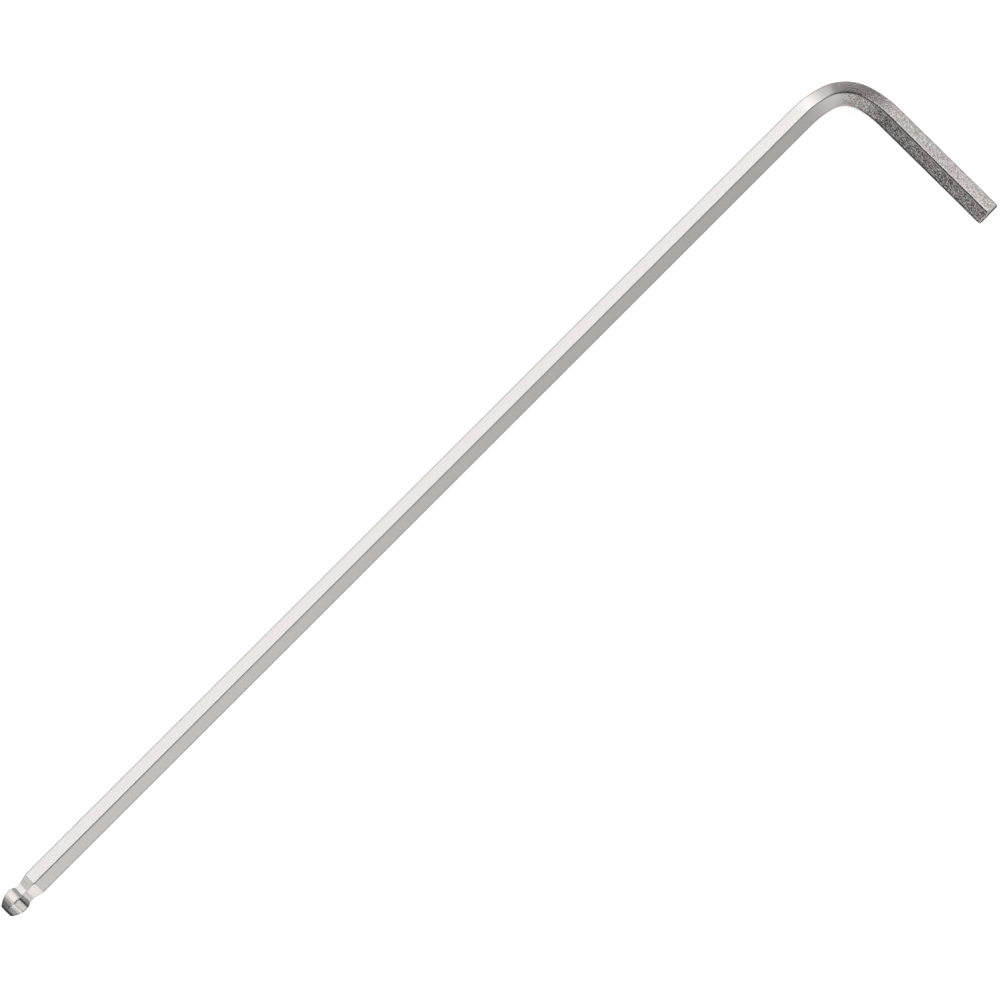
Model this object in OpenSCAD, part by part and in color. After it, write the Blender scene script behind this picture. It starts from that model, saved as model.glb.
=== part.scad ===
// Ball-end hex key, extra-long pattern, bent from one hexagonal bar.
// It lies as it comes to rest: the bend is level, two of the bar's six long corners point up and down,
// the long arm runs along X with its ball towards -X, and the short arm points towards -Y.
// The origin is under the middle of the key, on the surface that it lies on.

/* [Bar] */
// Distance across the flats of the hexagonal bar
across_flats = 2.5; // [1.5:0.1:5]
// Radius along the bar's six long corners
corner_r = 0.2; // [0.1:0.1:0.5]

/* [Arms] */
// Long arm from the ball's tip to the outer side of the short arm
long_len = 114.5; // [60:0.5:250]
// Short arm from its end face to the outer side of the long arm
short_len = 20.5; // [16:0.5:60]

/* [Bend] */
// Angle between the arms, just over square because the bar springs back
bend_angle = 90.5; // [86:0.5:94]
// Radius of the middle of the bend, at the bar's centre line
bend_r = 3.9; // [3:0.1:8]
// Radius of the easy curve on each side of the bend, at the bar's centre line
lead_r = 10.5; // [8:0.5:16]
// Angle that each easy curve turns through
lead_angle = 16; // [4:1:24]

/* [Ball end] */
// Radius that the ball stands past the bar's flats, which leaves a short land at its widest
ball_crown = 0.03; // [0.01:0.01:0.06]
// Distance from the tip to the centre of the ball
ball_center = 1.45; // [1.2:0.05:2]
// Distance from the tip to the crease where the nose meets the land
nose_len = 1.15; // [0.8:0.05:1.4]
// Radius of the nose's shallow arc from the crease to the tip
nose_r = 2.9; // [2:0.1:6]
// How far the flat tip is set in from the bar's flats, on each side
tip_inset = 0.62; // [0.3:0.02:0.7]
// Depth that the neck is ground below the bar's flats, on each side
neck_depth = 0.25; // [0.1:0.01:0.4]
// Length of the neck's level part
neck_len = 0.58; // [0.2:0.02:2]
// Length of the slope from the neck back up to the bar's flats
shoulder_len = 1.02; // [0.5:0.02:3]

/* [Short end] */
// Chamfer along each flat at the short end, the same along and across the bar
end_chamfer = 0.2; // [0.05:0.05:0.4]

/* [Hidden] */
$fn = 48;

hex_sides = 6;
side_angle = 360 / hex_sides;
half_turn = side_angle / 2;
// Steps around each long corner, fine enough to look round.
corner_steps = 5;
half_flats = across_flats / 2;
corner_dist = (half_flats - corner_r) / cos(half_turn);
bar_z = corner_dist + corner_r;
// Anything this far from the centre line is clear of the bar.
clear_half = across_flats;

// The bend is three arcs in one level plane. It starts at [0, 0], where the long arm ends.
turn = 180 - bend_angle;
lean = bend_angle - 90;
lead_shift = lead_r - bend_r;
center_drop = lead_r - lead_shift * cos(lead_angle);
tangent_len = lead_shift * sin(lead_angle) + center_drop * tan(turn / 2);
bend_end = [tangent_len, 0] + polar(tangent_len, lean - 90);
first_center = [0, -lead_r];
middle_center = first_center + polar(lead_shift, 90 - lead_angle);
last_center = bend_end - polar(lead_r, lean);

// Each run goes along a centre line, from the end face to the corner where the two lines cross.
long_run = long_len - half_flats;
short_run = short_len - half_flats;
reach_x = short_run * sin(lean) + half_flats * cos(lean);
reach_y = short_run * cos(lean) + half_flats * sin(lean);
corner_x = (long_run - reach_x) / 2;
corner_y = (reach_y - half_flats) / 2;
bend_end_at = [corner_x + tangent_len * sin(lean), corner_y - tangent_len * cos(lean), bar_z];

ball_r = half_flats + ball_crown;
tip_half = half_flats - tip_inset;
neck_half = half_flats - neck_depth;
neck_start = ball_center + sqrt(pow(ball_r, 2) - pow(neck_half, 2));
neck_end = neck_start + neck_len;
slope_past = (clear_half - half_flats) * shoulder_len / neck_depth;
slope_end = neck_end + shoulder_len + slope_past;
chamfer_end = end_chamfer + clear_half - half_flats;

nose_chord = norm([nose_len, tip_inset]);
nose_rise = sqrt(pow(nose_r, 2) - pow(nose_chord / 2, 2)) / nose_chord;
nose_center = [nose_len / 2 + nose_rise * tip_inset, (tip_half + half_flats) / 2 - nose_rise * nose_len];

function polar(r, a) = r * [cos(a), sin(a)];

// Moves its children by a round step and then by the small rest, so that arcs meet to the last digit
module place(to) {
    steps_per_mm = 100;
    step = [for (c = to) round(c * steps_per_mm) / steps_per_mm];
    translate(step)
        translate(to - step)
            children();
}

// Hexagon with round corners, flats square to X and corners up and down
module bar_section() {
    polygon([
        for (side = [0:hex_sides - 1], step = [0:corner_steps])
            let (a = side * side_angle + half_turn)
                polar(corner_dist, a) + polar(corner_r, a - half_turn + step * side_angle / corner_steps)
    ]);
}

// Straight bar along +X from its end face
module bar(len) {
    rotate([90, 0, 90])
        linear_extrude(height = len)
            bar_section();
}

// Bar with each pair of opposite flats ground to the side profile given as a child
module ground_bar(len) {
    intersection() {
        bar(len);
        intersection_for(pair = [0:hex_sides / 2 - 1])
            rotate([pair * side_angle, 0, 0])
                linear_extrude(height = 2 * clear_half, center = true)
                    children();
    }
}

// Part of a side profile that leaves the flats as they are
module untouched(from, to) {
    translate([from, -clear_half])
        square([to - from, 2 * clear_half]);
}

// Side profile that starts at half-height low, rises straight to clear of the bar, and stays clear
module rising(from, low, clear_from, to) {
    polygon([
        [from, -low],
        [clear_from, -clear_half],
        [to, -clear_half],
        [to, clear_half],
        [clear_from, clear_half],
        [from, low]
    ]);
}

// Nose of the ball, between two shallow arcs
module nose_profile() {
    intersection() {
        untouched(0, nose_len);
        translate(nose_center)
            circle(r = nose_r);
        mirror([0, 1])
            translate(nose_center)
                circle(r = nose_r);
    }
}

// Side profile of the ball end: nose, land, back of the ball, neck, then the slope up to the bar
module ball_profile(len) {
    nose_profile();
    untouched(nose_len, ball_center);
    translate([ball_center, 0])
        intersection() {
            circle(r = ball_r);
            untouched(0, ball_r);
        }
    translate([ball_center, -neck_half])
        square([neck_end - ball_center, 2 * neck_half]);
    rising(neck_end, neck_half, slope_end, len + clear_half);
}

// Side profile of the short end: a chamfer, then the flats as they are
module chamfer_profile(len) {
    rising(0, half_flats - end_chamfer, chamfer_end, len + clear_half);
}

// One arc of the bent bar, counterclockwise from angle start through sweep
module bar_arc(center, r, start, sweep) {
    place(center)
        rotate_extrude(angle = sweep, start = start)
            translate([r, 0])
                bar_section();
}

module long_arm() {
    straight = long_run - tangent_len;
    translate([-straight, 0, 0])
        ground_bar(straight)
            ball_profile(straight);
}

module bend() {
    bar_arc(first_center, lead_r, 90 - lead_angle, lead_angle);
    bar_arc(middle_center, bend_r, lean + lead_angle, turn - 2 * lead_angle);
    bar_arc(last_center, lead_r, lean, lead_angle);
}

module short_arm() {
    straight = short_run - tangent_len;
    translate([-straight, 0, 0])
        ground_bar(straight)
            chamfer_profile(straight);
}

// Built about the bend's end. Each arm turns by half of the lean, so that they meet to the last digit.
module hex_key() {
    color("silver")
        translate(bend_end_at)
            rotate([0, 0, lean / 2]) {
                rotate([0, 0, -lean / 2])
                    place(-bend_end) {
                        long_arm();
                        bend();
                    }
                rotate([0, 0, 90 + lean / 2])
                    short_arm();
            }
}

hex_key();
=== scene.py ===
"""Looks of a ball-end hex key: one bent and ground bar in satin nickel, on a white table in soft light."""

import logging
import math
from dataclasses import dataclass
from enum import Enum

import bpy
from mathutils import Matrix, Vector


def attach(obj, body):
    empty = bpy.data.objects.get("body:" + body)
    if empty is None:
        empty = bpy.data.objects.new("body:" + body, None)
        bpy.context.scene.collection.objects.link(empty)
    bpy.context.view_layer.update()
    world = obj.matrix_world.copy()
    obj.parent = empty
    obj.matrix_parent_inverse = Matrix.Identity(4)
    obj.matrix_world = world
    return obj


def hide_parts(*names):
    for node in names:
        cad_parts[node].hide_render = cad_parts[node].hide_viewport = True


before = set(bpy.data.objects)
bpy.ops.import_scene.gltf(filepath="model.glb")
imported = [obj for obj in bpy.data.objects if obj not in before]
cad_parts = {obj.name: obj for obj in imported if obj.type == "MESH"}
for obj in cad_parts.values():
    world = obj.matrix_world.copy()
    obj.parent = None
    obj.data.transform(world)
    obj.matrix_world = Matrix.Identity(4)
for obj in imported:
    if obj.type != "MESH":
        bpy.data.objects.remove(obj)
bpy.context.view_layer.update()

LOG = logging.getLogger("hex_key")
MM = 0.001
HEX_SIDES = 6
SIDE_ANGLE = 2 * math.pi / HEX_SIDES
HALF_SIDE = SIDE_ANGLE / 2

# Numbers of the colour sockets on a mix node, whose names it uses more than once.
MIX_FROM = 6
MIX_TO = 7
MIX_RESULT = 2


class Node(Enum):
    """Kinds of shader node that the finishes use."""

    ADD_SHADERS = "ShaderNodeAddShader"
    ATTRIBUTE = "ShaderNodeAttribute"
    BUMP = "ShaderNodeBump"
    COORDINATES = "ShaderNodeTexCoord"
    DIFFUSE = "ShaderNodeBsdfDiffuse"
    EMISSION = "ShaderNodeEmission"
    LIGHT_PATH = "ShaderNodeLightPath"
    MAP_RANGE = "ShaderNodeMapRange"
    MATH = "ShaderNodeMath"
    MIX = "ShaderNodeMix"
    NOISE = "ShaderNodeTexNoise"
    OUTPUT = "ShaderNodeOutputMaterial"
    PRINCIPLED = "ShaderNodeBsdfPrincipled"
    VECTOR_MATH = "ShaderNodeVectorMath"
    VORONOI = "ShaderNodeTexVoronoi"


class Share(Enum):
    """Strengths from 0 to 1 that each point of the bar has, and that its finish reads.

    They say how rough the plate is, how speckled, how plainly its grinding shows, how far the bend's stain
    reaches it, and how far painted shade darkens it, which stands for dark reflections at the tip, the
    ends and the short arm's inner corners.
    """

    GRAIN = "grain"
    PEPPER = "pepper"
    GROUND = "ground"
    CROOK = "crook"
    PAINTED_SHADE = "bare"


def linear(hex_colour: str) -> tuple[float, float, float, float]:
    """Turns an sRGB hex colour into linear light.

    Args:
        hex_colour: Six hex digits after a hash sign.

    Returns:
        Red, green, blue and an alpha of 1.
    """
    channels = [int(hex_colour[i : i + 2], 16) / 255 for i in (1, 3, 5)]
    light = [c / 12.92 if c <= 0.04045 else ((c + 0.055) / 1.055) ** 2.4 for c in channels]
    return light[0], light[1], light[2], 1.0


def smooth_step(value: float) -> float:
    """Eases a value from 0 to 1 with level ends."""
    held = min(max(value, 0.0), 1.0)
    return held * held * (3 - 2 * held)


def add_node(
    tree: bpy.types.NodeTree, kind: Node, inputs: dict | None = None, **settings: object
) -> bpy.types.Node:
    """Adds one node with its settings and links.

    Args:
        tree: The node tree that takes it.
        kind: Which node it is.
        inputs: Socket name or number to a value, or to another node's output socket.
        **settings: The node's own properties.

    Returns:
        The new node.
    """
    node = tree.nodes.new(kind.value)
    for name, value in settings.items():
        setattr(node, name, value)
    for name, value in (inputs or {}).items():
        if isinstance(value, bpy.types.NodeSocket):
            tree.links.new(value, node.inputs[name])
        else:
            node.inputs[name].default_value = value
    return node


def new_material(name: str) -> bpy.types.Material:
    """Makes a material with an empty node tree.

    Args:
        name: What the material is called.

    Returns:
        The new material.
    """
    material = bpy.data.materials.new(name)
    material.use_nodes = True
    material.node_tree.nodes.clear()
    return material


@dataclass(frozen=True)
class SatinNickelOnSteel:
    """Nickel plate over drawn alloy steel, smooth on the long arm and grainy where the bar was heated.

    Bright nickel gives a warm pale grey. The satin plate spreads reflections softly, and the scale under it
    on the short arm breaks them into fine light and dark specks.
    """

    plate_tone: str = "#a6a3a1"
    # The grainy plate has blotches that lean to mauve or to green.
    mauve_tone: str = "#aba2a3"
    green_tone: str = "#a3a3a1"
    # Its specks are dark pits and light crystals.
    pit_tone: str = "#6c6967"
    crystal_tone: str = "#d6d2cf"
    # Heat has left brown spots inside the bend.
    spot_tone: str = "#9b8e85"
    # Painted shade: a dark tone on the tip, the ends' rims and the short arm's inner corners, for their
    # dark reflections.
    painted_shade_tone: str = "#35322f"
    # Levels of a pattern, at which each tint sets in and at which it is full.
    mauve_levels: tuple[float, float] = (0.46, 0.58)
    green_levels: tuple[float, float] = (0.42, 0.32)
    pit_levels: tuple[float, float] = (0.47, 0.22)
    crystal_levels: tuple[float, float] = (0.47, 0.75)
    spot_levels: tuple[float, float] = (0.42, 0.7)
    smooth_roughness: float = 0.22
    grainy_roughness: float = 0.24
    # The specks are drawn coarser than real plate grain, which would blur away at the photo's distance.
    speck_mm: float = 0.11
    speck_height_mm: float = 0.01
    blotch_mm: float = 1.6
    blotch_detail: float = 1.0
    spot_mm: float = 0.4
    spot_detail: float = 0.0
    # Grinding lines run round the ball and neck, and are drawn coarser than real ones for the same reason.
    grind_mm: float = 0.14
    grind_run_mm: float = 3.0
    grind_height_mm: float = 0.02
    grind_detail: float = 2.0

    def _masked(
        self,
        tree: bpy.types.NodeTree,
        pattern: bpy.types.NodeSocket,
        levels: tuple[float, float],
        share: bpy.types.NodeSocket,
    ) -> bpy.types.NodeSocket:
        """Spreads a stretch of a pattern over 0 to 1 and keeps it where a share is strong.

        Args:
            tree: The material's node tree.
            pattern: The pattern.
            levels: The pattern's levels that give 0 and 1.
            share: The share, from 0 to 1.

        Returns:
            The masked pattern.
        """
        stretch = {"Value": pattern, "From Min": levels[0], "From Max": levels[1]}
        spread = add_node(tree, Node.MAP_RANGE, stretch).outputs[0]
        return add_node(tree, Node.MATH, {0: spread, 1: share}, operation="MULTIPLY").outputs[0]

    def _colour(
        self,
        tree: bpy.types.NodeTree,
        place: bpy.types.NodeSocket,
        specks: bpy.types.NodeSocket,
        shares: dict[Share, bpy.types.NodeSocket],
    ) -> bpy.types.NodeSocket:
        """Tints the plate with blotches, pits and crystals, brown spots, and painted shade.

        Args:
            tree: The material's node tree.
            place: Object coordinates.
            specks: A chance level for each cell of the grain.
            shares: The strengths that each point of the bar has.

        Returns:
            The plate's colour.
        """
        coarse = {"Vector": place, "Scale": 1 / (self.blotch_mm * MM), "Detail": self.blotch_detail}
        blotches = add_node(tree, Node.NOISE, coarse).outputs["Fac"]
        fine = {"Vector": place, "Scale": 1 / (self.spot_mm * MM), "Detail": self.spot_detail}
        spots = add_node(tree, Node.NOISE, fine).outputs["Fac"]
        grain, pepper, crook = shares[Share.GRAIN], shares[Share.PEPPER], shares[Share.CROOK]
        layers = (
            (self._masked(tree, blotches, self.mauve_levels, grain), self.mauve_tone),
            (self._masked(tree, blotches, self.green_levels, grain), self.green_tone),
            (self._masked(tree, specks, self.pit_levels, pepper), self.pit_tone),
            (self._masked(tree, specks, self.crystal_levels, pepper), self.crystal_tone),
            (self._masked(tree, spots, self.spot_levels, crook), self.spot_tone),
            # Painted shade, for dark reflections at the tip, the ends and the short arm's inner corners.
            (shares[Share.PAINTED_SHADE], self.painted_shade_tone),
        )
        colour: bpy.types.NodeSocket | tuple = linear(self.plate_tone)
        for strength, tone in layers:
            inputs = {"Factor": strength, MIX_FROM: colour, MIX_TO: linear(tone)}
            colour = add_node(tree, Node.MIX, inputs, data_type="RGBA").outputs[MIX_RESULT]
        return colour

    def _relief(
        self,
        tree: bpy.types.NodeTree,
        place: bpy.types.NodeSocket,
        cells: bpy.types.NodeSocket,
        shares: dict[Share, bpy.types.NodeSocket],
    ) -> bpy.types.NodeSocket:
        """Raises the grinding lines on the ball and the grain on the short arm.

        Args:
            tree: The material's node tree.
            place: Object coordinates.
            cells: Distance from the middle of each cell of the grain.
            shares: The strengths that each point of the bar has.

        Returns:
            The surface's direction with both.
        """
        scales = [1 / (size * MM) for size in (self.grind_mm, self.grind_run_mm, self.grind_run_mm)]
        stretched = add_node(tree, Node.VECTOR_MATH, {0: place, 1: scales}, operation="MULTIPLY").outputs[0]
        noise = {"Vector": stretched, "Scale": 1.0, "Detail": self.grind_detail}
        lines = {
            "Strength": shares[Share.GROUND],
            "Distance": self.grind_height_mm * MM,
            "Height": add_node(tree, Node.NOISE, noise).outputs["Fac"],
        }
        grain = {
            "Strength": shares[Share.GRAIN],
            "Distance": self.speck_height_mm * MM,
            "Height": cells,
            "Normal": add_node(tree, Node.BUMP, lines).outputs["Normal"],
        }
        return add_node(tree, Node.BUMP, grain).outputs["Normal"]

    def build(self) -> bpy.types.Material:
        """Makes the material.

        Returns:
            The finished material.
        """
        material = new_material("satin_nickel_on_steel")
        tree = material.node_tree
        place = add_node(tree, Node.COORDINATES).outputs["Object"]
        shares = {
            share: add_node(tree, Node.ATTRIBUTE, attribute_name=share.value).outputs["Fac"]
            for share in Share
        }
        cells = add_node(tree, Node.VORONOI, {"Vector": place, "Scale": 1 / (self.speck_mm * MM)})
        roughness = {
            "Value": shares[Share.GRAIN],
            "To Min": self.smooth_roughness,
            "To Max": self.grainy_roughness,
        }
        surface = {
            "Base Color": self._colour(tree, place, cells.outputs["Color"], shares),
            "Metallic": 1.0,
            "Roughness": add_node(tree, Node.MAP_RANGE, roughness).outputs[0],
            "Normal": self._relief(tree, place, cells.outputs["Distance"], shares),
        }
        metal = add_node(tree, Node.PRINCIPLED, surface)
        add_node(tree, Node.OUTPUT, {"Surface": metal.outputs[0]})
        return material


@dataclass(frozen=True)
class MattWhiteBoard:
    """Painted white board under the key. It takes a soft shadow, and its own glow makes it pure white."""

    tone: str = "#e6e6e6"
    glow: float = 0.68

    def build(self) -> bpy.types.Material:
        """Makes the material.

        Returns:
            The finished material.
        """
        material = new_material("matt_white_board")
        tree = material.node_tree
        path = add_node(tree, Node.LIGHT_PATH)
        seen = path.outputs["Is Camera Ray"]
        for ray in ("Is Glossy Ray", "Is Transmission Ray"):
            seen = add_node(tree, Node.MATH, {0: seen, 1: path.outputs[ray]}, operation="MAXIMUM").outputs[0]
        strength = add_node(tree, Node.MATH, {0: seen, 1: self.glow}, operation="MULTIPLY").outputs[0]
        paint = add_node(tree, Node.DIFFUSE, {"Color": linear(self.tone)})
        glow = add_node(tree, Node.EMISSION, {"Strength": strength})
        both = add_node(tree, Node.ADD_SHADERS, {0: paint.outputs[0], 1: glow.outputs[0]})
        add_node(tree, Node.OUTPUT, {"Surface": both.outputs[0]})
        return material


@dataclass(frozen=True)
class Station:
    """One ring of the bar in millimetres: its place, its heading in radians, and half its width across flats.

    From 0 to 1, squeeze is how far the bend has changed the section, grain how rough the plate is, specks how
    speckled its flats are and how far its upper and lower corners are rubbed round, ground how plainly the
    grinding shows, crook how close the ring is to the stained part of the bend, and the last field how far
    painted shade, which stands for dark reflections, darkens it.
    """

    x: float
    y: float
    heading: float
    half: float
    squeeze: float = 0.0
    grain: float = 0.0
    specks: float = 0.0
    ground: float = 0.0
    crook: float = 0.0
    bare: float = 0.0


@dataclass(frozen=True)
class HexKeyForm:
    """Sizes of the key in millimetres and degrees: the solid's own, and those of forms that it lacks."""

    across_flats: float = 2.5
    corner_r: float = 0.2
    long_len: float = 114.5
    short_len: float = 20.5
    bend_angle: float = 90.5
    bend_r: float = 3.9
    lead_r: float = 10.5
    lead_angle: float = 16.0
    ball_crown: float = 0.03
    ball_center: float = 1.45
    nose_len: float = 1.15
    nose_r: float = 2.9
    tip_inset: float = 0.62
    neck_depth: float = 0.25
    neck_len: float = 0.58
    shoulder_len: float = 1.02
    end_chamfer: float = 0.2
    end_slope: float = 45.0
    # The end's chamfer is rounded: its slope changes by this many degrees each way.
    chamfer_soft: float = 36.0
    # At the bend's middle the outer and inner sides draw in, and the upper and lower corners move outward.
    outer_draw: float = 0.02
    inner_draw: float = 0.105
    corner_shift: float = 0.12
    # Length over which one curve of the bend eases into the next.
    ease_len: float = 0.9
    # Edges between ground faces are broken by this much, and so are the rims of both ends.
    edge_break: float = 0.012
    rim_break: float = 0.03
    # The nose and the land meet in a fine groove, this deep and this wide on each side.
    groove_depth: float = 0.03
    groove_half: float = 0.04
    # Radius left on the ground corners of the ball and neck.
    ground_corner_r: float = 0.025
    # Rubbing adds this much to the radius of the short arm's upper and lower corners.
    rubbed_r: float = 0.15
    # Painted shade darkens the tip this far back, for its dark reflections, and fades over the last part
    # of that.
    tip_shade_len: float = 0.42
    tip_shade_fade: float = 0.25
    # Each end face has a rim this wide painted dark, and inside it painted shade of this share; both stand
    # for dark reflections.
    face_rim: float = 0.1
    face_shade: float = 0.3

    @property
    def half_flats(self) -> float:
        """Half the distance across the flats."""
        return self.across_flats / 2

    @property
    def corner_reach(self) -> float:
        """Distance from the centre line to a long corner's top, which is also the centre line's height."""
        return (self.half_flats - self.corner_r) / math.cos(HALF_SIDE) + self.corner_r

    @property
    def turn(self) -> float:
        """Angle that the bar is bent through, in radians."""
        return math.radians(180 - self.bend_angle)

    @property
    def lean(self) -> float:
        """How far the bend falls short of a right angle, in radians."""
        return math.radians(self.bend_angle - 90)

    @property
    def corner(self) -> Vector:
        """Finds where the two centre lines cross, with the origin under the middle of the key.

        Returns:
            The crossing, in millimetres.
        """
        short_run = self.short_len - self.half_flats
        reach_x = short_run * math.sin(self.lean) + self.half_flats * math.cos(self.lean)
        reach_y = short_run * math.cos(self.lean) + self.half_flats * math.sin(self.lean)
        long_run = self.long_len - self.half_flats
        return Vector(((long_run - reach_x) / 2, (reach_y - self.half_flats) / 2, self.corner_reach))


@dataclass
class BallEnd:
    """The ground side profile of the ball end, from its tip to the full bar."""

    form: HexKeyForm
    nose_steps: int = 18
    back_steps: int = 12
    slope_steps: int = 4
    # Rings beside each crease and behind the tip's rim, and how far the other rings keep from them. All of
    # these are counted in edge breaks.
    crease_rings: tuple[int, ...] = (1, 3, 6)
    crease_clear: int = 7
    rim_rings: tuple[int, ...] = (1, 3)
    rim_clear: int = 4

    def __post_init__(self) -> None:
        """Works out where each ground face starts."""
        form = self.form
        self.ball_r = form.half_flats + form.ball_crown
        self.tip_half = form.half_flats - form.tip_inset
        self.neck_half = form.half_flats - form.neck_depth
        self.land_end = form.ball_center + math.sqrt(self.ball_r**2 - form.half_flats**2)
        self.neck_start = form.ball_center + math.sqrt(self.ball_r**2 - self.neck_half**2)
        self.neck_end = self.neck_start + form.neck_len
        self.slope_end = self.neck_end + form.shoulder_len
        chord = math.hypot(form.nose_len, form.tip_inset)
        rise = math.sqrt(form.nose_r**2 - (chord / 2) ** 2) / chord
        self.nose_x = form.nose_len / 2 + rise * form.tip_inset
        self.nose_y = (self.tip_half + form.half_flats) / 2 - rise * form.nose_len

    def half_at(self, x: float) -> float:
        """Gives half the distance across the flats.

        Args:
            x: Distance from the tip.

        Returns:
            The half distance there.
        """
        form = self.form
        groove = form.groove_depth * max(0.0, 1 - abs(x - form.nose_len) / form.groove_half)
        return self._ground_half(x) - groove

    def _ground_half(self, x: float) -> float:
        """Gives half the distance across the flats, without the groove.

        Args:
            x: Distance from the tip.

        Returns:
            The half distance there.
        """
        form = self.form
        if x < form.nose_len:
            return self.nose_y + math.sqrt(form.nose_r**2 - (x - self.nose_x) ** 2)
        if x < self.land_end or x > self.slope_end:
            return form.half_flats
        if x < self.neck_start:
            return math.sqrt(self.ball_r**2 - (x - form.ball_center) ** 2)
        if x < self.neck_end:
            return self.neck_half
        return self.neck_half + (x - self.neck_end) * form.neck_depth / form.shoulder_len

    def places(self) -> list[float]:
        """Gives the distances from the tip at which the bar gets a ring.

        Returns:
            Distances in order, close together on round stretches and beside each crease.
        """
        form = self.form
        creases = [form.nose_len, self.land_end, self.neck_start, self.neck_end, self.slope_end]
        edges = [side * steps * form.edge_break for side in (-1, 1) for steps in self.crease_rings]
        beside = [crease + step for crease in creases for step in edges]
        rim = [steps * form.edge_break for steps in self.rim_rings]
        spans = (
            (0.0, form.nose_len, self.nose_steps),
            (self.land_end, self.neck_start, self.back_steps),
            (self.neck_end, self.slope_end, self.slope_steps),
        )
        between = [start + (end - start) * i / count for start, end, count in spans for i in range(1, count)]
        past_rim = [x for x in between if x > self.rim_clear * form.edge_break]
        margin = self.crease_clear * form.edge_break
        clear = [x for x in past_rim if all(abs(x - crease) > margin for crease in creases)]
        return sorted([form.nose_len] + rim + beside + clear)


@dataclass
class BarLine:
    """The bar's centre line: the long arm, an eased bend, and the short arm."""

    form: HexKeyForm
    # Distance from ring to ring in the bend, and along each arm.
    bend_step: float = 0.1
    arm_step: float = 2.5

    def __post_init__(self) -> None:
        """Lays the line out so that both arms lie where the solid's do."""
        form = self.form
        lead = math.radians(form.lead_angle)
        self.lead_len = form.lead_r * lead
        self.middle_len = form.bend_r * (form.turn - 2 * lead)
        self.bend_len = 2 * self.lead_len + self.middle_len + form.ease_len
        self.points = self._walk()
        _, end_x, end_y, _ = self.points[-1]
        self.tangent_len = end_x - end_y / math.tan(-form.turn)
        self.long_straight = form.long_len - form.half_flats - self.tangent_len
        self.short_straight = form.short_len - form.half_flats - self.tangent_len

    def _curvature(self, s: float) -> float:
        """Gives the bend's curvature.

        Args:
            s: Distance along the line from the bend's start, in millimetres.

        Returns:
            The curvature there, in radians a millimetre.
        """
        form = self.form
        half_ease = form.ease_len / 2
        jumps = (
            (half_ease, 1 / form.lead_r),
            (half_ease + self.lead_len, 1 / form.bend_r - 1 / form.lead_r),
            (half_ease + self.lead_len + self.middle_len, 1 / form.lead_r - 1 / form.bend_r),
            (half_ease + 2 * self.lead_len + self.middle_len, -1 / form.lead_r),
        )
        return sum(rise * smooth_step((s - at) / form.ease_len + 0.5) for at, rise in jumps)

    def _walk(self) -> list[tuple[float, float, float, float]]:
        """Follows the bend from its start.

        Returns:
            Length along, x, y and heading at each step, with the long arm coming in along +X.
        """
        count = round(self.bend_len / self.bend_step)
        step = self.bend_len / count
        x, y, heading = 0.0, 0.0, 0.0
        walk = [(0.0, x, y, heading)]
        for i in range(count):
            bent = heading - self._curvature((i + 0.5) * step) * step
            middle = (heading + bent) / 2
            x += step * math.cos(middle)
            y += step * math.sin(middle)
            heading = bent
            walk.append(((i + 1) * step, x, y, heading))
        return walk


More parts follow.
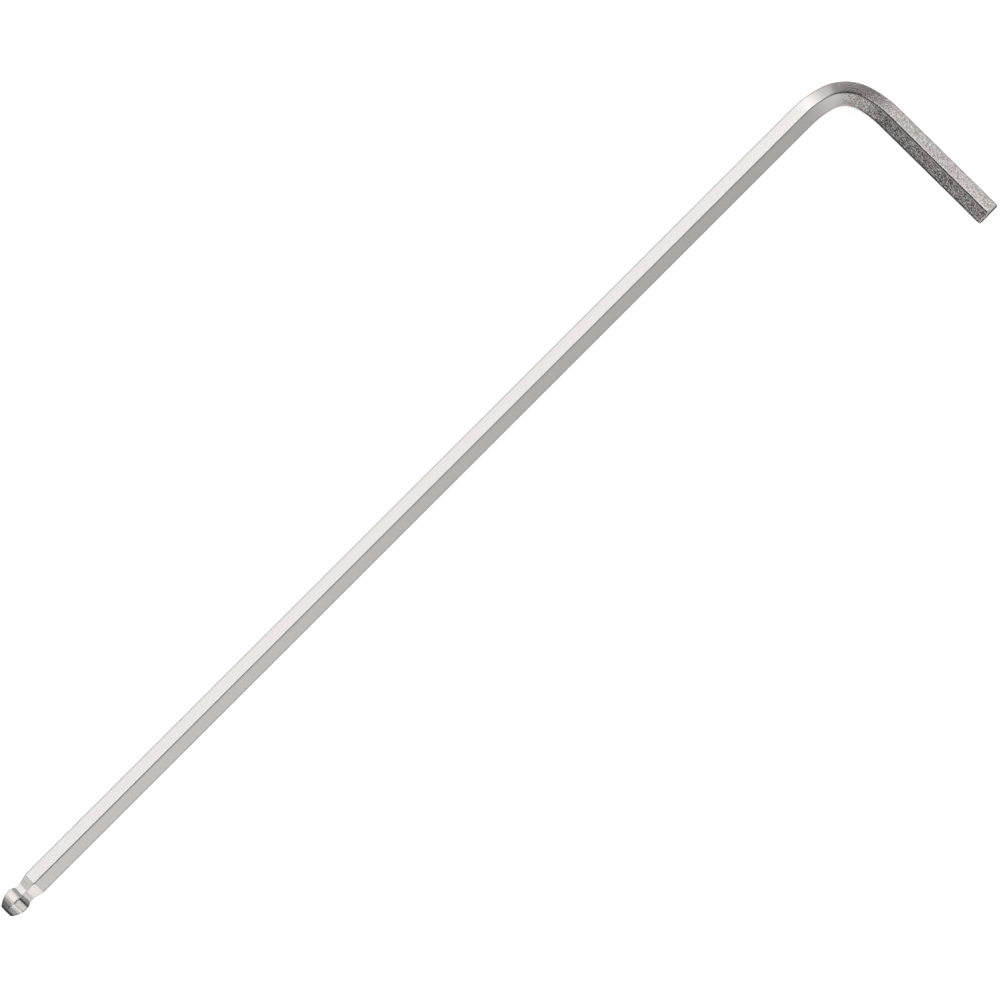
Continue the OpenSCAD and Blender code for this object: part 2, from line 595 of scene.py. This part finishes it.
@dataclass
class HexKey:
    """The key: one bar, swept as rings along its line, ground at the ball and chamfered at the short end."""

    form: HexKeyForm
    # The solid has as many steps round each long corner.
    corner_steps: int = 5
    # Corners are numbered from the outer side's upper one, upward and round.
    upper_and_lower: tuple[int, int] = (1, 4)
    inner_corners: tuple[int, int] = (2, 3)
    # Beside each round corner the flat has a point this far in, which keeps the flat's shading level.
    flat_hold: float = 0.02
    smooth_grain: float = 0.1
    # The specks show less on the outer side than on the inner one.
    outer_pepper: float = 0.4
    # Shares of the bend's length: where the grain and the specks set in, and over how much they grow.
    grain_from: float = 0.3
    grain_over: float = 0.4
    specks_from: float = 0.42
    specks_over: float = 0.43
    # The stain's middle and its reach each way, as shares of the bend's length.
    crook_at: float = 0.58
    crook_reach: float = 0.2
    chamfer_steps: int = 8
    # Shares of the chamfer at the short end: where painted shade for the rim's dark reflection sets in,
    # and over how much it grows.
    rim_shade_from: float = 1 / 6
    rim_shade_over: float = 1 / 6

    def __post_init__(self) -> None:
        """Lays out the line and the ball end."""
        self.ball = BallEnd(self.form)
        self.line = BarLine(self.form)

    @property
    def side_points(self) -> int:
        """Points at each round corner: its steps' ends, and a held point on the flat at either side."""
        return self.corner_steps + 3

    def _section(self, half: float, squeeze: float, rubbed: float) -> list[tuple[float, float]]:
        """Draws one ring: a hexagon with round corners, corners up and down.

        Args:
            half: Half the distance across the flats.
            squeeze: 0 on the straight arms, 1 at the middle of the bend.
            rubbed: 1 where the upper and lower corners are rubbed round, 0 where they aren't.

        Returns:
            Points as sideways and upward distances, sideways being positive on the bend's outer side.
        """
        form = self.form
        sharp_reach = half / math.cos(HALF_SIDE)
        left_over = (sharp_reach - form.corner_reach) / (1 / math.cos(HALF_SIDE) - 1)
        drawn_r = max(form.ground_corner_r, left_over)
        hold = self.flat_hold
        points = []
        for side in range(HEX_SIDES):
            middle = side * SIDE_ANGLE + HALF_SIDE
            radius = drawn_r + form.rubbed_r * rubbed * (side in self.upper_and_lower)
            centre_dist = (half - radius) / math.cos(HALF_SIDE)
            cx, cy = centre_dist * math.cos(middle), centre_dist * math.sin(middle)
            first, last = middle - HALF_SIDE, middle + HALF_SIDE
            arc = []
            for i in range(self.corner_steps + 1):
                a = first + i * SIDE_ANGLE / self.corner_steps
                arc.append((cx + radius * math.cos(a), cy + radius * math.sin(a)))
            points.append((arc[0][0] + hold * math.sin(first), arc[0][1] - hold * math.cos(first)))
            points += arc
            points.append((arc[-1][0] - hold * math.sin(last), arc[-1][1] + hold * math.cos(last)))
        return [(self._bent(x, half, squeeze), y) for x, y in points]

    def _bent(self, x: float, half: float, squeeze: float) -> float:
        """Moves one point of a ring sideways, as bending has moved it.

        Args:
            x: The point's sideways distance.
            half: Half the distance across the flats.
            squeeze: 0 on the straight arms, 1 at the middle of the bend.

        Returns:
            Its sideways distance after bending.
        """
        form = self.form
        draw = (form.outer_draw if x > 0 else form.inner_draw) * squeeze / half
        shift = form.corner_shift * squeeze
        return x * (1 - draw) + shift * (1 - min(1.0, (x / half) ** 2))

    def _long_arm(self, tip_x: float) -> list[Station]:
        """Lists the long arm's rings, from the tip to just before the bend.

        Args:
            tip_x: Where the tip is.

        Returns:
            The rings in order.
        """
        form, line, y = self.form, self.line, self.form.corner.y
        places = self.ball.places()
        first = places[-1] + line.arm_step
        count = int((line.long_straight - first) / line.arm_step)
        places += [first + (line.long_straight - first) * i / count for i in range(count)]
        # The tip's face, its rim and the tip itself get painted shade, for their dark reflections.
        rim_half = self.ball.tip_half - form.rim_break
        face = Station(tip_x, y, 0.0, rim_half - form.face_rim, grain=self.smooth_grain, bare=form.face_shade)
        rim = Station(tip_x, y, 0.0, rim_half, grain=self.smooth_grain, bare=1.0)
        rings = [
            Station(
                tip_x + x,
                y,
                0.0,
                self.ball.half_at(x),
                grain=self.smooth_grain,
                ground=float(x < self.ball.slope_end),
                bare=smooth_step((form.tip_shade_len - x) / form.tip_shade_fade),
            )
            for x in places
        ]
        return [face, rim] + rings

    def _bend(self, start_x: float) -> list[Station]:
        """Lists the bend's rings. The grain sets in at its middle, and its section changes most there.

        Args:
            start_x: Where the bend starts.

        Returns:
            The rings in order.
        """
        rings = []
        for s, x, y, heading in self.line.points:
            share = s / self.line.bend_len
            rough = smooth_step((share - self.grain_from) / self.grain_over)
            rings.append(
                Station(
                    start_x + x,
                    self.form.corner.y + y,
                    heading,
                    self.form.half_flats,
                    squeeze=math.sin(math.pi * share) ** 2,
                    grain=self.smooth_grain + (1 - self.smooth_grain) * rough,
                    specks=smooth_step((share - self.specks_from) / self.specks_over),
                    crook=smooth_step(1 - abs(share - self.crook_at) / self.crook_reach),
                )
            )
        return rings

    def _short_arm(self, bent: Station) -> list[Station]:
        """Lists the short arm's rings, from just past the bend to the one inside its end face.

        Args:
            bent: The bend's last ring.

        Returns:
            The rings in order.
        """
        form, line = self.form, self.line
        chamfer_start = line.short_straight - form.end_chamfer
        # Each run has its distance past the bend, how much is cut off each flat there, and how strong its
        # painted shade is.
        runs = [(line.arm_step * i, 0.0, 0.0) for i in range(1, int(chamfer_start / line.arm_step) + 1)]
        runs += [(chamfer_start - form.rim_break, 0.0, 0.0), (chamfer_start - form.edge_break, 0.0, 0.0)]
        low, high = (math.radians(form.end_slope + side * form.chamfer_soft) for side in (-1, 1))
        radius = form.end_chamfer / (math.sin(high) - math.sin(low))
        for i in range(1, self.chamfer_steps + 1):
            share = i / self.chamfer_steps
            slope = low + (high - low) * share
            run = chamfer_start + radius * (math.sin(slope) - math.sin(low))
            cut = radius * (math.cos(low) - math.cos(slope))
            runs.append((run, cut, smooth_step((share - self.rim_shade_from) / self.rim_shade_over)))
        # The end's rim is painted dark, and its face gets lighter painted shade, for their dark reflections.
        rim_cut = form.end_chamfer + form.rim_break
        runs.append((line.short_straight, rim_cut, 1.0))
        runs.append((line.short_straight, rim_cut + form.face_rim, form.face_shade))
        ahead_x, ahead_y = math.cos(bent.heading), math.sin(bent.heading)
        rings = []
        for run, cut, bare in runs:
            x, y = bent.x + ahead_x * run, bent.y + ahead_y * run
            specks = float(run < chamfer_start - form.edge_break)
            half = form.half_flats - cut
            rings.append(Station(x, y, bent.heading, half, grain=1.0, specks=specks, bare=bare))
        return rings

    def _stations(self) -> list[Station]:
        """Lists the whole bar's rings, from the tip to the short end's face.

        Returns:
            The rings in order.
        """
        start_x = self.form.corner.x - self.line.tangent_len
        bend = self._bend(start_x)
        return self._long_arm(start_x - self.line.long_straight) + bend + self._short_arm(bend[-1])

    def _shares(self, station: Station, number: int, inner: bool) -> dict[Share, float]:
        """Gives what the finish reads at one point of a ring.

        Args:
            station: The ring.
            number: The point's number, counted round the ring.
            inner: Whether the point is on the bend's inner side.

        Returns:
            The strength of each share.
        """
        flat = number % self.side_points in (0, self.side_points - 1)
        # The short arm's inner corners get painted shade, for their dark reflections.
        painted_shade_corner = not flat and number // self.side_points in self.inner_corners
        return {
            Share.GRAIN: station.grain,
            Share.PEPPER: station.specks * flat * (1.0 if inner else self.outer_pepper),
            Share.GROUND: station.ground,
            Share.CROOK: station.crook * inner,
            Share.PAINTED_SHADE: max(station.bare, station.specks * painted_shade_corner),
        }

    def _faces(self, count: int) -> list[tuple[int, ...]]:
        """Joins each ring to the next with quads, and closes both ends.

        Args:
            count: How many rings there are.

        Returns:
            The faces, as numbers of points.
        """
        ring = HEX_SIDES * self.side_points
        faces = []
        for start in range(0, (count - 1) * ring, ring):
            for j in range(ring):
                k = (j + 1) % ring
                faces.append((start + j, start + k, start + ring + k, start + ring + j))
        last = (count - 1) * ring
        faces.append(tuple(reversed(range(ring))))
        faces.append(tuple(range(last, last + ring)))
        return faces

    def build(self) -> bpy.types.Object:
        """Makes the key's mesh.

        Returns:
            The key, as one closed piece.
        """
        stations = self._stations()
        vertices = []
        shares: dict[Share, list[float]] = {share: [] for share in Share}
        for station in stations:
            side_x, side_y = -math.sin(station.heading), math.cos(station.heading)
            section = self._section(station.half, station.squeeze, station.specks)
            for number, (sideways, up) in enumerate(section):
                x, y = station.x + side_x * sideways, station.y + side_y * sideways
                vertices.append((MM * x, MM * y, MM * (self.form.corner_reach + up)))
                for share, value in self._shares(station, number, sideways < 0).items():
                    shares[share].append(value)
        mesh = bpy.data.meshes.new("hex_key_bar")
        mesh.from_pydata(vertices, [], self._faces(len(stations)))
        mesh.shade_smooth()
        for share, values in shares.items():
            mesh.attributes.new(share.value, "FLOAT", "POINT").data.foreach_set("value", values)
        mesh.validate()
        piece = bpy.data.objects.new("hex_key_bar", mesh)
        bpy.context.scene.collection.objects.link(piece)
        return piece

    def dress(self, piece: bpy.types.Object, finish: SatinNickelOnSteel) -> None:
        """Gives the key its finish and lets it stand for the solid.

        Args:
            piece: The key's mesh.
            finish: What its surface is.
        """
        piece.data.materials.append(finish.build())
        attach(piece, "root")
        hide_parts("hex_key")


@dataclass(frozen=True)
class PhotoView:
    """The camera, high above the key and looking straight down, framed by two things measured in the picture.

    They are the pixel where the key's centre lines cross, and the long arm's slope in degrees. The picture is
    1000 pixels each way, so its middle lies between pixels 499 and 500.
    """

    middle_px: float = 499.5
    frame_px: float = 1000.0
    corner_px: tuple[float, float] = (844.635, 73.256)
    long_arm_deg: float = 44.96
    mm_per_px: float = 0.09552
    height_mm: float = 990.0
    sensor_mm: float = 36.0
    near_mm: float = 10.0
    far_mm: float = 50000.0

    def axes(self) -> tuple[Vector, Vector]:
        """Gives the picture's right and up directions on the table."""
        a = math.radians(self.long_arm_deg)
        return Vector((math.cos(a), -math.sin(a), 0)), Vector((math.sin(a), math.cos(a), 0))

    def middle(self, form: HexKeyForm) -> Vector:
        """Finds the point at the height of the key's centre line that the picture's middle shows.

        Args:
            form: The key's sizes.

        Returns:
            The point, in millimetres.
        """
        right, up = self.axes()
        across = (self.corner_px[0] - self.middle_px) * self.mm_per_px
        rise = (self.middle_px - self.corner_px[1]) * self.mm_per_px
        return form.corner - right * across - up * rise

    def build(self, form: HexKeyForm) -> None:
        """Makes the camera and sets it as the scene's.

        Args:
            form: The key's sizes.
        """
        _, up = self.axes()
        data = bpy.data.cameras.new("photo_view")
        data.sensor_width = self.sensor_mm
        data.lens = self.sensor_mm * self.height_mm / (self.frame_px * self.mm_per_px)
        data.clip_start, data.clip_end = self.near_mm * MM, self.far_mm * MM
        camera = bpy.data.objects.new("photo_view", data)
        camera.location = (self.middle(form) + Vector((0, 0, self.height_mm))) * MM
        camera.rotation_euler = (0.0, 0.0, math.atan2(-up.x, up.y))
        bpy.context.scene.collection.objects.link(camera)
        bpy.context.scene.camera = camera


@dataclass(frozen=True)
class SoftBox:
    """A soft light aimed at the key. Its bearing is measured in the picture, from right towards up."""

    name: str
    bearing_deg: float
    height_deg: float
    glow: float
    width_mm: float
    tall_mm: float
    away_mm: float = 600.0

    def build(self, view: PhotoView, aim: Vector) -> None:
        """Makes the light.

        Args:
            view: The camera's view, which gives the picture's directions.
            aim: The point that it is aimed at and placed from, in millimetres.
        """
        right, up = view.axes()
        bearing, height = math.radians(self.bearing_deg), math.radians(self.height_deg)
        level = right * math.cos(bearing) + up * math.sin(bearing)
        towards = level * math.cos(height) + Vector((0, 0, math.sin(height)))
        data = bpy.data.lights.new(self.name, "AREA")
        data.shape = "RECTANGLE"
        data.size, data.size_y = self.width_mm * MM, self.tall_mm * MM
        data.energy = self.glow * math.pi * data.size * data.size_y
        lamp = bpy.data.objects.new(self.name, data)
        lamp.location = (aim + towards * self.away_mm) * MM
        lamp.rotation_mode = "QUATERNION"
        lamp.rotation_quaternion = (-towards).to_track_quat("-Z", "Y")
        bpy.context.scene.collection.objects.link(lamp)


@dataclass(frozen=True)
class Studio:
    """The white table and the soft boxes round the key, in a dark room."""

    table_mm: float = 6000.0
    room_glow: float = 0.0
    boxes: tuple[SoftBox, ...] = (
        SoftBox("upper_left_box", 138, 26, 2.25, 400, 260),
        SoftBox("upper_box", 111, 26, 1.5, 200, 240),
        SoftBox("upper_middle_box", 96, 26, 0.5, 150, 240),
        SoftBox("left_box", 173, 22, 1.5, 400, 200),
        SoftBox("right_box", 22, 28, 1.75, 600, 220),
        SoftBox("lower_right_box", 306, 28, 1.15, 540, 240),
        SoftBox("ball_side_box", 298, 28, 0.45, 300, 240),
        SoftBox("lower_box", 256, 24, 2.1, 420, 220),
        SoftBox("low_lower_box", 268, 8, 0.6, 320, 100),
        SoftBox("low_right_box", 0, 9, 0.6, 300, 100),
        SoftBox("far_box", 76, 12, 1.2, 420, 150),
        SoftBox("high_upper_left_box", 130, 52, 3.5, 300, 260),
        SoftBox("high_right_box", 40, 46, 3.0, 260, 200),
        SoftBox("high_lower_right_box", 315, 62, 1.9, 260, 240),
        SoftBox("high_lower_left_box", 225, 57, 0.8, 300, 400),
    )
    # This one is aimed at the ball, and the others at the middle of the table.
    ball_box: SoftBox = SoftBox("ball_box", -71.5, 24, 1.0, 130, 90, away_mm=270.0)

    def _table(self) -> None:
        """Makes the table."""
        half = self.table_mm * MM / 2
        corners = [(-half, -half, 0), (half, -half, 0), (half, half, 0), (-half, half, 0)]
        mesh = bpy.data.meshes.new("table")
        mesh.from_pydata(corners, [], [(0, 1, 2, 3)])
        floor = bpy.data.objects.new("table", mesh)
        floor.data.materials.append(MattWhiteBoard().build())
        bpy.context.scene.collection.objects.link(floor)

    def _room(self) -> None:
        """Makes the room round the table."""
        world = bpy.data.worlds.new("room")
        world.use_nodes = True
        world.node_tree.nodes["Background"].inputs["Strength"].default_value = self.room_glow
        bpy.context.scene.world = world

    def build(self, view: PhotoView, form: HexKeyForm) -> None:
        """Makes the table, the dark room and the soft boxes.

        Args:
            view: The camera's view, which the boxes are placed by.
            form: The key's sizes, which give the ball's place.
        """
        self._table()
        self._room()
        for box in self.boxes:
            box.build(view, Vector())
        ball_run = form.long_len - form.half_flats - form.ball_center
        self.ball_box.build(view, form.corner - Vector((ball_run, 0, 0)))


def main() -> None:
    """Builds the key, its view and its studio."""
    logging.basicConfig(level=logging.INFO)
    bpy.context.scene.view_settings.view_transform = "Standard"
    form = HexKeyForm()
    key = HexKey(form)
    piece = key.build()
    key.dress(piece, SatinNickelOnSteel())
    LOG.info("%s: %d vertices, %d faces", piece.name, len(piece.data.vertices), len(piece.data.polygons))
    view = PhotoView()
    view.build(form)
    Studio().build(view, form)


if __name__ == "__main__":
    main()
